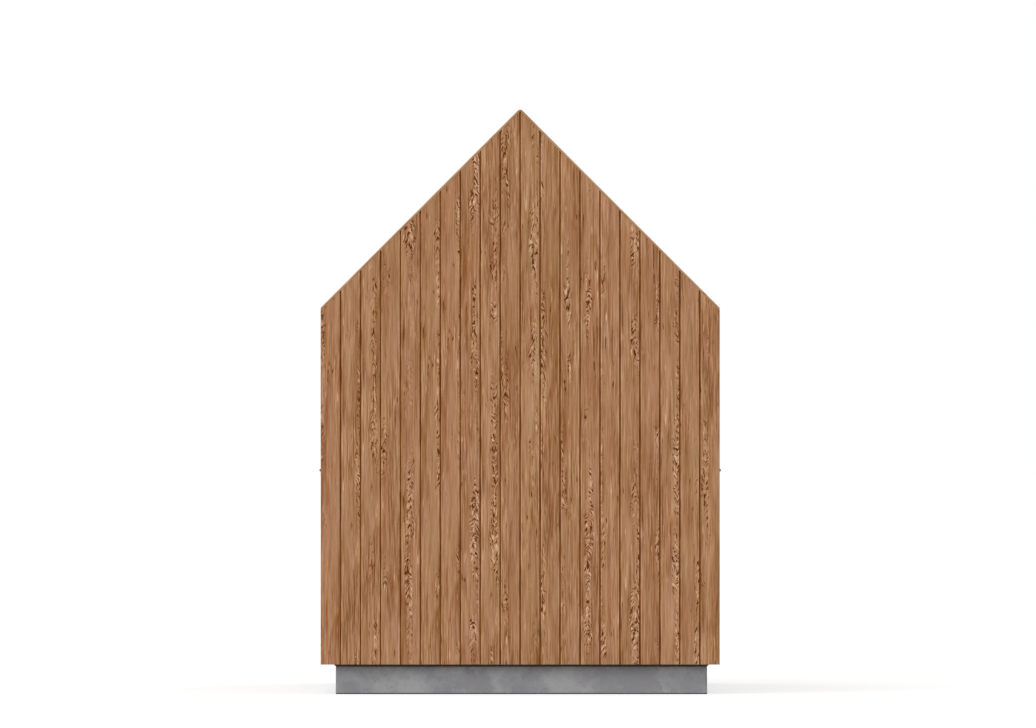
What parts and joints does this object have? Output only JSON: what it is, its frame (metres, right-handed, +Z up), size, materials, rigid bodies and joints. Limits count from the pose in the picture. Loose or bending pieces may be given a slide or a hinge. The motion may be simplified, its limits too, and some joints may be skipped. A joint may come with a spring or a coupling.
{
  "type": "gable cabin",
  "caption": "Small timber cabin with a steep gable roof and no eaves, boarded over walls and roof alike, standing on a low concrete plinth.",
  "frame": {"origin": "ground level, in the middle of the boarded shell's plan", "axes": "+X to the right across the plain gable, +Y along the ridge from the plain gable to the door gable, +Z up"},
  "size_m": [2.416, 3.7, 3.516],
  "materials": {
    "concrete": "matt",
    "membrane": "matt",
    "boards": "oiled",
    "trim_timber": "oiled",
    "panel_timber": "matt",
    "frame_timber": "matt",
    "steel": "satin"
  },
  "bodies": {
    "root": {"plinth": "concrete", "damp_proof_layer": "membrane", "floor_frame": "frame_timber", "floor_deck": "frame_timber", "left_wall": "panel_timber", "right_wall": "panel_timber", "plain_gable_wall": "panel_timber", "door_gable_wall_left": "panel_timber", "door_gable_wall_right": "panel_timber", "door_gable_wall_over": "panel_timber", "left_roof_panel": "panel_timber", "right_roof_panel": "panel_timber", "plain_gable_boards": "boards", "door_gable_boards_left": "boards", "door_gable_boards_right": "boards", "door_gable_boards_over": "boards", "door_gable_boards_under": "boards", "left_wall_boards_lower": "boards", "left_wall_boards_upper": "boards", "right_wall_boards_lower": "boards", "right_wall_boards_upper": "boards", "left_roof_boards": "boards", "right_roof_boards": "boards", "left_joint_bead": "trim_timber", "right_joint_bead": "trim_timber", "ridge_strip": "trim_timber", "plain_gable_verge_left": "trim_timber", "plain_gable_verge_right": "trim_timber", "door_gable_verge_left": "trim_timber", "door_gable_verge_right": "trim_timber", "door_leaf": "boards", "door_jamb_left": "frame_timber", "door_jamb_right": "frame_timber", "door_head": "frame_timber", "door_threshold": "frame_timber", "door_knob": "steel", "door_hinge_lower": "steel", "door_hinge_middle": "steel", "door_hinge_upper": "steel"}
  },
  "joints": []
}
